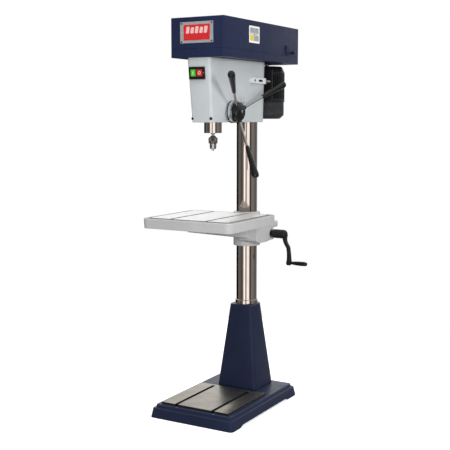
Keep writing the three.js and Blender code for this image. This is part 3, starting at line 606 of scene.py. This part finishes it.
def build_slide_lug():
    """The belt slide's lug on the head's side: a rounded bar, with a hole and a slot drawn on it as flat pieces of
    painted shade.
    """
    bar = JOINT["tension_lock_turn"]["pos_m"][2]
    out = high("head_casting")[0]
    thick = SLIDE_LUG["thick"] * MM
    half = SLIDE_LUG["half"] * MM
    outline = rectangle(SLIDE_LUG["front"] * MM, SLIDE_LUG["back"] * MM, bar - half, bar + half, 11 * MM)
    place(side_slab("slide_lug", outline, thick, out + 0.4 * MM - thick, 0.8 * MM), lug_enamel, "stand")
    # The hole and the slot are flat pieces of painted shade.
    hole = side_slab("lug_hole", ring_of(5.6 * MM, 32, (-76 * MM, bar)), 0.15 * MM, out + 0.4 * MM)
    place(hole, painted_hole_shade, "stand")
    outline = rectangle(-42 * MM, -6 * MM, bar - 4.6 * MM, bar + 4.6 * MM, 4.5 * MM)
    place(side_slab("lug_slot", outline, 0.15 * MM, out + 0.4 * MM), painted_hole_shade, "stand")


def build_switch():
    """The switch: its frame, both buttons, a bar on one, a ring on the other, and the screw beside them."""
    eased("switch_plate", black_abs, 0.8)
    eased("start_button", green_abs, 0.8)
    eased("stop_button", red_abs, 0.8)
    tilt = head_tilt()
    across = np.array([1, 0, 0])
    up = np.array([0, -math.sin(tilt), math.cos(tilt)])
    outline = rectangle(-1.3 * MM, 1.3 * MM, -6.5 * MM, 6.5 * MM, 0.6 * MM)
    mark = slab("start_mark", outline, 0.35 * MM, button_face("start_button"), across, up)
    place(mark, white_ink, "start_button")
    angle = np.linspace(0, TURN, 40, endpoint=False)[:, None]
    circle = button_face("stop_button") + 5.4 * MM * (np.cos(angle) * across + np.sin(angle) * up)
    ring = carried("stop_mark", ring_of(0.9 * MM, 10), circle, np.cross(across, up), closed=True)
    place(ring, white_ink, "stop_button")
    plate_low, plate_high = low("switch_plate"), high("switch_plate")
    z = (plate_low[2] + plate_high[2]) / 2
    seat = [26 * MM, plate_low[1] + (plate_high[2] - z) * math.tan(tilt) + 0.1 * MM, z]
    screw_head("switch_screw", seat, [0, -math.cos(tilt), -math.sin(tilt)], 2.8, "stand", bright_steel)


def button_face(name):
    """The middle of a button's front, just under its skin."""
    centre = middle(name)
    return np.array([centre[0], low(name)[1] + 1.35 * MM, centre[2] - 0.2 * MM])


def screw_head(name, seat, aim, radius_mm, body, material):
    """A pan head: a low dome over a short rim, with its cross recess drawn as two bars of painted shade."""
    r = radius_mm * MM
    outline = np.array([[0, -1.5 * MM], [r, -1.5 * MM], [r, 0.25 * r], [0.72 * r, 0.52 * r],
                        [0.3 * r, 0.6 * r], [0, 0.6 * r]])
    head = revolved(name, softened(outline, 0.2 * r, 3), seat, aim, 32)
    place(head, material, body)
    side, up, out = frame_about(aim)
    for k, (w, h) in enumerate(SCREW_RECESS):
        outline = rectangle(-w * r, w * r, -h * r, h * r)
        bar = slab(f"{name}_recess_{k + 1}", outline, 0.08 * r, np.asarray(seat) + out * 0.56 * r, side, up)
        place(bar, painted_hole_shade, body)


# ---- belt case ------------------------------------------------------------------------------

def build_case():
    eased("cover_pan", navy_sheet, 0.7)
    eased("cover_lid", navy_sheet, 1.2)
    eased("lid_hinge_pin", bright_steel, 0.3)
    eased("lid_knob", navy_sheet, 1.0)
    build_badge()
    build_label()
    side = high("cover_lid")[0]
    outline = rectangle(131 * MM, 155 * MM, 1546 * MM, 1588 * MM, 10 * MM)
    place(side_slab("lid_pull", outline, 5 * MM, side, 2.5 * MM), navy_sheet, "lid")
    outline = rectangle(-300 * MM, -286 * MM, 1550 * MM, 1592 * MM, 4 * MM)
    place(side_slab("lid_emboss", outline, 1.2 * MM, side, 1 * MM), navy_sheet, "lid")


def build_badge():
    """The lid's front badge: a plate on four screws, and a red panel with a row of plain leaning bars."""
    eased("badge_plate", brushed_badge, 0.7)
    front = low("badge_plate")[1]
    x, _, z = middle("badge_plate")
    half = BADGE_PANEL["half"] * MM
    outline = rectangle(BADGE_PANEL["left"] * MM, BADGE_PANEL["right"] * MM, -half, half, 2 * MM)
    place(slab("badge_panel", outline, 0.5 * MM, [x, front, z], [1, 0, 0], [0, 0, 1]), red_ink, "lid")
    lean = BADGE_BARS["lean"]
    foot = BADGE_BARS["foot"]
    for k in range(5):
        left = BADGE_BARS["first"] + BADGE_BARS["step"] * k
        right = left + BADGE_BARS["width"]
        top = BADGE_BARS["tops"][(k + 1) % 2]
        bar = np.array([[left, foot], [right, foot], [right + lean, top], [left + lean, top]]) * MM
        shape = slab(f"badge_bar_{k + 1}", softened(bar, 4 * MM, 4, closed=True), 0.4 * MM,
                     [x, front - 0.5 * MM, z], [1, 0, 0], [0, 0, 1])
        place(shape, pale_ink, "lid")
    for k, (right, up) in enumerate(((-1, -1), (1, -1), (1, 1), (-1, 1))):
        seat = [x + right * BADGE_SCREW["x"], front, z + up * BADGE_SCREW["z"]]
        screw_head(f"badge_screw_{k + 1}", seat, [0, -1, 0], 3.8, "lid", dark_steel)


def build_label():
    """The lid's side label: a pale film with a few plain blocks and lines, placed by shares of its size."""
    out = high("cover_lid")[0]
    y0, y1, z0, z1 = LABEL["front"], LABEL["back"], LABEL["low"], LABEL["high"]
    film = side_slab("label_film", rectangle(y0, y1, z0, z1, 2 * MM), 0.3 * MM, out)
    place(film, cream_vinyl, "lid")
    blocks = [
        (0.08, 0.46, 0.58, 0.90, grey_ink),
        (0.54, 0.92, 0.58, 0.90, grey_ink),
        (0.08, 0.46, 0.12, 0.46, amber_ink),
        (0.54, 0.92, 0.12, 0.46, grey_ink),
        (0.48, 0.52, 0.12, 0.90, dark_ink),
        (0.08, 0.92, 0.50, 0.535, dark_ink),
    ]
    wide, tall = y1 - y0, z1 - z0
    for k, (a, b, c, d, ink) in enumerate(blocks):
        outline = rectangle(y0 + a * wide, y0 + b * wide, z0 + c * tall, z0 + d * tall, 0.6 * MM)
        place(side_slab(f"label_block_{k + 1}", outline, 0.12 * MM, out + 0.3 * MM), ink, "lid")


# ---- spindle and chuck ----------------------------------------------------------------------

def build_spindle():
    eased("quill_sleeve", column_steel, 0.6)
    eased("spindle_shaft", bright_steel, 0.5)
    eased("spindle_bearing_lower", bright_steel, 0.4)
    eased("spindle_bearing_upper", bright_steel, 0.4)
    axis_x, axis_y = JOINT["spindle_spin"]["pos_m"][:2]
    z = low("chuck_body")[2]
    tall = (high("chuck_body")[2] - z) / MM
    outline = np.array([[6.6, 0], [10.6, 0], [13.4, 4], [13.75, 6], [13.75, 21], [15, 23], [15, 49],
                        [8, tall], [0, tall], [0, 47], [13.4, 47], [13.4, 41]]) * MM
    body = revolved("chuck_body_turned", softened(outline, 0.7 * MM, 3, closed=True), [axis_x, axis_y, z],
                    [0, 0, 1], 96, closed=True)
    place(body, bright_steel, "spindle", ("chuck_body",))
    build_chuck_sleeve(axis_x, axis_y)
    for k in range(3):
        eased(f"chuck_jaw_{k + 1}", dark_steel, 0.3)
        angle = math.radians(30 + 120 * k)
        out = np.array([math.cos(angle), math.sin(angle), 0])
        side = np.array([-math.sin(angle), math.cos(angle), 0])
        centre = np.array([axis_x, axis_y, z + 13 * MM]) + out * 13.72 * MM
        # The key holes are flat discs of painted shade.
        hole = slab(f"key_hole_{k + 1}", ring_of(3 * MM, 28), 0.25 * MM, centre, side, [0, 0, 1])
        place(hole, painted_hole_shade, "spindle")


def build_chuck_sleeve(axis_x, axis_y):
    """The chuck's sleeve: a toothed cone below, a groove, and a knurled band above it."""
    z = low("chuck_sleeve")[2]
    tall = (high("chuck_sleeve")[2] - z) / MM
    r = high("chuck_sleeve")[0] / MM
    outline = np.array([[15.5, 0], [16.6, 0], [r, 3.2], [r, 9], [r - 0.5, 9.4], [r - 0.5, 10.2], [r, 10.6],
                        [r, 21.5], [r - 1.8, tall], [15.5, tall]]) * MM

    def cut(angle, station, radius):
        """Square-topped waves on the lower cone make the key's teeth, and short sine humps the knurl."""
        outside = radius > 16 * MM
        gear = (station < 8 * MM) & outside
        knurl = (station > 10.4 * MM) & (station < 22 * MM) & outside
        wave = np.clip(np.cos(angle * CHUCK_TEETH) * 2, -1, 1)
        fine = np.abs(np.cos(angle * CHUCK_KNURLS / 2))
        return gear * (wave - 1) * 0.55 * MM + knurl * (fine - 1) * 0.45 * MM

    sleeve = revolved("chuck_sleeve_turned", softened(outline, 0.35 * MM, 2, closed=True),
                      [axis_x, axis_y, z], [0, 0, 1], 360, cut, closed=True)
    place(sleeve, chuck_steel, "chuck_sleeve", ("chuck_sleeve",), 40)


# ---- quill feed -----------------------------------------------------------------------------

def build_feed():
    y, z = JOINT["feed_turn"]["pos_m"][1:]
    eased("feed_pinion_shaft", bright_steel_x, 0.3, segments=2)
    build_dial(y, z)
    hub_low, hub_high = low("feed_hub"), high("feed_hub")
    wide = (hub_high[2] - z) / MM
    deep = (hub_high[0] - hub_low[0]) / MM
    outline = np.array([[11.4, 0], [wide - 2, 0], [wide, 2.5], [wide, 15], [wide - 2, 19], [wide - 6, 23.5],
                        [wide - 12, 25.5], [17, 26.2], [16, deep], [0, deep]]) * MM
    hub = revolved("feed_hub_turned", softened(outline, 2.0 * MM, 5), [hub_low[0], y, z], [1, 0, 0], 96)
    place(hub, phenolic, "feed", ("feed_hub",))
    outline = np.array([[0, 0], [7.5, 0], [7.5, 2], [6, 3.2], [0, 3.6]]) * MM
    nut = revolved("hub_nut", softened(outline, 0.5 * MM, 3), [hub_high[0] - 2.4 * MM, y, z], [1, 0, 0], 6)
    place(nut, chrome_x, "feed")
    for k in range(LEVER_COUNT):
        build_lever(k, y, z)


def build_dial(y, z):
    """The depth dial: a plated drum with its graduations between two dark rims."""
    x = low("dial_ring")[0]
    radius = (high("dial_ring")[2] - z) / MM
    drum = radius - 1
    outline = np.vstack([
        [[11.6, 0], [radius, 0], [radius, 2.6], [drum, 3]],
        upright(drum, 4, 21, 14),
        [[radius - 1.6, 22.4], [radius - 2.6, 23.8], [11.6, 23.8]],
    ]) * MM

    def marks(angle, station, r):
        """Engraved graduations: fine cuts, evenly round the outer half of the drum."""
        outer_half = (r > 44 * MM) & (station > 12 * MM) & (station < 21 * MM)
        return outer_half * -0.25 * MM * (np.cos(angle * DIAL_MARKS) > 0.93)

    dial = revolved("dial_drum", outline, [x, y, z], [1, 0, 0], 800, marks, closed=True)
    place(dial, chrome_x, "dial", ("dial_ring",))
    for k, (first, last, rim) in enumerate(((0.1, 7.5, radius), (20.4, 23.7, radius - 0.7))):
        section = np.array([[radius - 1.6, first], [rim, first], [rim, last], [radius - 1.6, last]]) * MM
        band = revolved(f"dial_rim_{k + 1}", softened(section, 0.5 * MM, 3, closed=True), [x, y, z],
                        [1, 0, 0], 96, closed=True)
        place(band, black_abs, "dial")


def build_lever(k, y, z):
    """One feed lever: a plated rod out of the hub, a boss at its root and a tapered grip."""
    angle = LEVER_ANGLE + k * TURN / LEVER_COUNT
    radial = np.array([0, math.sin(angle), math.cos(angle)])
    aim = radial * math.cos(LEVER_SPLAY) + np.array([math.sin(LEVER_SPLAY), 0, 0])
    start = np.array([LEVER_ROOT["x"], y, z]) + radial * LEVER_ROOT["radius"]
    outline = np.array([[0, -8], [5.2, -8], [5.2, 150], [0, 150]]) * MM
    rod = revolved(f"lever_rod_{k + 1}", softened(outline, 0.8 * MM, 2), start, aim, 32)
    place(rod, chrome_rod, "feed", (f"feed_lever_rod_{k + 1}",))
    outline = np.array([[0, 4], [8.6, 4], [8.8, 12], [7.4, 16], [0, 16]]) * MM
    boss = revolved(f"lever_boss_{k + 1}", softened(outline, 1 * MM, 3), start, aim, 32)
    place(boss, phenolic, "feed")
    outline = np.array([[5.4, 118], [7.2, 118], [8.0, 120], [8.0, 125], [8.6, 130], [10.0, 160],
                        [12.0, 195], [14.4, 228], [15.4, 240], [14.6, 249], [11, 255], [5, 257.3],
                        [0, 257.4]]) * MM
    grip = revolved(f"lever_grip_{k + 1}", softened(outline, 3 * MM, 4), start, aim, 48)
    place(grip, phenolic, "feed", (f"feed_lever_grip_{k + 1}",))


# ---- belt drive -----------------------------------------------------------------------------

def build_drive():
    for name in ("spindle_pulley", "idler_pulley", "motor_pulley"):
        eased(name, cast_aluminium, 0.5, segments=2)
    eased("idler_shaft", bright_steel, 0.6)
    eased("front_belt", belt_rubber, 0.6)
    eased("rear_belt", belt_rubber, 0.6)


# ---- motor ----------------------------------------------------------------------------------

def build_motor():
    axis_x, axis_y = JOINT["motor_spin"]["pos_m"][:2]
    build_motor_shell(axis_x, axis_y)
    eased("motor_plate", black_cast, 1.5)
    eased("junction_box", grey_black, 2.0)
    eased("slide_bar_left", bright_steel, 0.6)
    eased("slide_bar_right", bright_steel, 0.6)
    reach = MOTOR_FOOT["back"] - high("motor_plate")[1] - 0.3 * MM
    for k, side in enumerate((-1, 1)):
        outline = rectangle(-58 * MM, 58 * MM, -12 * MM, 12 * MM, 3 * MM)
        origin = [axis_x, MOTOR_FOOT["back"], MOTOR_FOOT["z"] + side * MOTOR_FOOT["spread"]]
        foot = slab(f"motor_foot_{k + 1}", outline, reach, origin, [1, 0, 0], [0, 0, 1])
        place(foot, black_cast, "motor")
    build_fan_cover(axis_x, axis_y)


def build_motor_shell(axis_x, axis_y):
    """The motor's cast shell, with cooling fins all round."""
    z = low("motor_body")[2]
    r = high("motor_body")[0] / MM
    tall = (high("motor_body")[2] - z) / MM
    shoulder = tall - 27
    bottom = np.array([[0, 0], [r - 3, 0], [r, 3], [r, 12]])
    top = np.array([[r, shoulder - 6], [r, shoulder], [r - 12, tall - 2], [r - 16, tall], [0, tall]])
    outline = np.vstack([bottom, upright(r, 14, shoulder - 10, 24), softened(top, 2, 4)]) * MM

    def fins(angle, station, radius):
        """Cooling fins along the shell: a clipped cosine round it, fading out at both ends."""
        from_bottom = np.clip((station - 13 * MM) / (6 * MM), 0, 1)
        from_top = np.clip(((shoulder - 9) * MM - station) / (6 * MM), 0, 1)
        groove = np.clip(np.cos(angle * MOTOR_FINS) * 1.6 - 0.2, -1, 1) - 1
        return 2.6 * MM * from_bottom * from_top * groove

    shell = revolved("motor_shell", outline, [axis_x, axis_y, z], [0, 0, 1], MOTOR_FINS * 12, fins)
    place(shell, black_cast, "motor", ("motor_body",))


def build_fan_cover(axis_x, axis_y):
    """The pressed cup over the motor's fan, with air slots in its side."""
    z = low("motor_fan_cover")[2]
    r = high("motor_fan_cover")[0] / MM
    deep = (high("motor_fan_cover")[2] - z) / MM
    outline = np.vstack([
        [[0, 0], [r - 24, 0], [r - 17, 1.5], [r - 2.5, 15], [r, 20]],
        upright(r, 22, deep - 2, 20),
        [[r, deep], [r - 3, deep], [r - 3, deep - 1], [r - 3, 20], [r - 19, 4], [0, 4]],
    ]) * MM

    def vents(angle, station, radius):
        """Air slots: a ring of upright dents in the cover's side, from a clipped cosine round it."""
        zone = np.clip((station - 30 * MM) / (3 * MM), 0, 1) * np.clip((58 * MM - station) / (3 * MM), 0, 1)
        slot = np.clip(np.cos(angle * FAN_VENTS) * 3 - 1, 0, 1)
        return -2.2 * MM * zone * slot * (radius > (r - 1) * MM)

    cover = revolved("fan_cover", outline, [axis_x, axis_y, z], [0, 0, 1], FAN_VENTS * 12, vents)
    place(cover, grey_black, "motor", ("motor_fan_cover",))


build_stand()
build_table()
build_crank()
build_head()
build_switch()
build_case()
build_spindle()
build_feed()
build_drive()
build_motor()


# ---- studio ---------------------------------------------------------------------------------

# Grey levels round the room against bearing in degrees. 0 is the side the machine is looked at from, 90 is
# to the looker's right and -90 to the left. Two tall bright boxes stand there with a grey gap between
# them, and dark gaps beside them draw the edges of round bright steel.
WALLS = [
    (-180, 0.0), (-116, 0.0), (-110, 0.10), (-74, 0.10), (-70, 0.045), (-60, 0.06), (-48, 0.12),
    (-39, 0.10), (-35, 1.0), (-20, 1.0), (-16, 0.26), (-3, 0.26), (1, 0.92), (24, 0.92), (29, 0.3),
    (32, 0.03), (45, 0.03), (49, 0.15), (86, 0.15), (93, 0.09), (132, 0.10), (150, 0.25), (180, 0.25),
]
HIGH_WALLS = [(-180, 0.75), (-110, 0.5), (-60, 0.15), (0, 0.3), (60, 0.35), (110, 0.45), (180, 0.75)]
ROOM_TURN = 60                       # degrees about Z that bring bearing 0 to that side


def build_floor():
    """A round pale floor. Only the camera sees it bright, so that it throws little light upwards."""
    floor = slab("floor", ring_of(1.6, 128), 0.02, [0, 0, -0.02], [1, 0, 0], [0, 1, 0])
    material, tree, shader, _ = blank("pale_floor", Base_Color=colour("#f4f4f4"), Roughness=0.9,
                                      Emission_Color=colour("#ffffff"), Emission_Strength=0.5)
    dim = add(tree, "ShaderNodeBsdfDiffuse", sockets={"Color": colour("#8c8c8c")})
    ray = add(tree, "ShaderNodeLightPath")
    seen = {0: ray.outputs["Is Camera Ray"], 1: dim.outputs[0], 2: shader.outputs[0]}
    choice = add(tree, "ShaderNodeMixShader", seen)
    tree.links.new(choice.outputs[0], tree.nodes["Material Output"].inputs["Surface"])
    floor.data.materials.append(material)


def area_light(name, place_at, aim_at, size, power):
    """A soft box that lights the surfaces but leaves no image in the bright round steel."""
    light = bpy.data.lights.new(name, "AREA")
    light.energy = power
    light.shape = "RECTANGLE"
    light.size, light.size_y = size
    obj = bpy.data.objects.new(name, light)
    obj.location = place_at
    obj.rotation_euler = (Vector(aim_at) - Vector(place_at)).to_track_quat("-Z", "Y").to_euler()
    obj.visible_glossy = False
    bpy.context.scene.collection.objects.link(obj)


def ramp_of(tree, share, stops):
    """A grey for each bearing, straight between the stops."""
    ramp = add(tree, "ShaderNodeValToRGB", {"Fac": share})
    elements = ramp.color_ramp.elements
    for element, (_, level) in ((elements[0], stops[0]), (elements[1], stops[-1])):
        element.color = (level, level, level, 1)
    for bearing, level in stops[1:-1]:
        elements.new((bearing + 180) / 360).color = (level, level, level, 1)
    return ramp.outputs["Color"]


def rise_between(tree, height, start, end):
    """0 below the start and 1 above the end of a range of upward direction."""
    limits = {"From Min": start, "From Max": end}
    return add(tree, "ShaderNodeMapRange", {"Value": height}, limits).outputs["Result"]


def build_studio():
    """A room of tall soft boxes and dark gaps, as a product studio shows in round bright steel. The camera
    itself sees a plain white backdrop."""
    world = bpy.data.worlds.new("studio")
    bpy.context.scene.world = world
    world.use_nodes = True
    tree = world.node_tree
    where = add(tree, "ShaderNodeTexCoord").outputs["Generated"]
    turned = add(tree, "ShaderNodeMapping", {"Vector": where}, {"Rotation": (0, 0, math.radians(ROOM_TURN))})
    parts = add(tree, "ShaderNodeSeparateXYZ", {"Vector": turned.outputs["Vector"]})
    height = parts.outputs["Z"]
    links = {0: parts.outputs["Y"], 1: parts.outputs["X"]}
    bearing = add(tree, "ShaderNodeMath", links, operation="ARCTAN2")
    limits = {"From Min": -math.pi, "From Max": math.pi}
    share = add(tree, "ShaderNodeMapRange", {"Value": bearing.outputs[0]}, limits).outputs["Result"]
    links = {"Factor": rise_between(tree, height, 0.04, 0.14), "A": ramp_of(tree, share, WALLS),
             "B": ramp_of(tree, share, HIGH_WALLS)}
    room = add(tree, "ShaderNodeMix", links, data_type="RGBA")
    links = {"Factor": rise_between(tree, height, 0.55, 0.8), "A": room.outputs["Result"]}
    sky = add(tree, "ShaderNodeMix", links, {"B": (0.55, 0.55, 0.55, 1)}, data_type="RGBA")
    strong = add(tree, "ShaderNodeBackground", {"Color": sky.outputs["Result"]}, {"Strength": 1.8})
    plain = add(tree, "ShaderNodeBackground", sockets={"Color": colour("#ffffff"), "Strength": 1.0})
    ray = add(tree, "ShaderNodeLightPath")
    seen = {0: ray.outputs["Is Camera Ray"], 1: strong.outputs[0], 2: plain.outputs[0]}
    choice = add(tree, "ShaderNodeMixShader", seen)
    tree.links.new(choice.outputs[0], tree.nodes["World Output"].inputs["Surface"])
    area_light("overhead_box", (0.2, -0.8, 3.4), (0, -0.2, 0.9), (2.4, 2.4), 40)
    area_light("key_box", (3.3, -2.4, 1.8), (0, -0.2, 1.2), (0.5, 0.9), 64)


def build_camera():
    """A long lens at chest height, to the operator's right, looking slightly down."""
    camera = bpy.data.cameras.new("camera")
    camera.lens = 72.45
    camera.sensor_width = 36
    obj = bpy.data.objects.new("camera", camera)
    obj.location = (1.9418, -3.5587, 1.2670)
    obj.rotation_euler = (math.radians(90 - 6.78), 0, math.radians(30.005))
    bpy.context.scene.collection.objects.link(obj)
    bpy.context.scene.camera = obj


build_floor()
build_studio()
build_camera()
bpy.context.scene.view_settings.view_transform = "Standard"
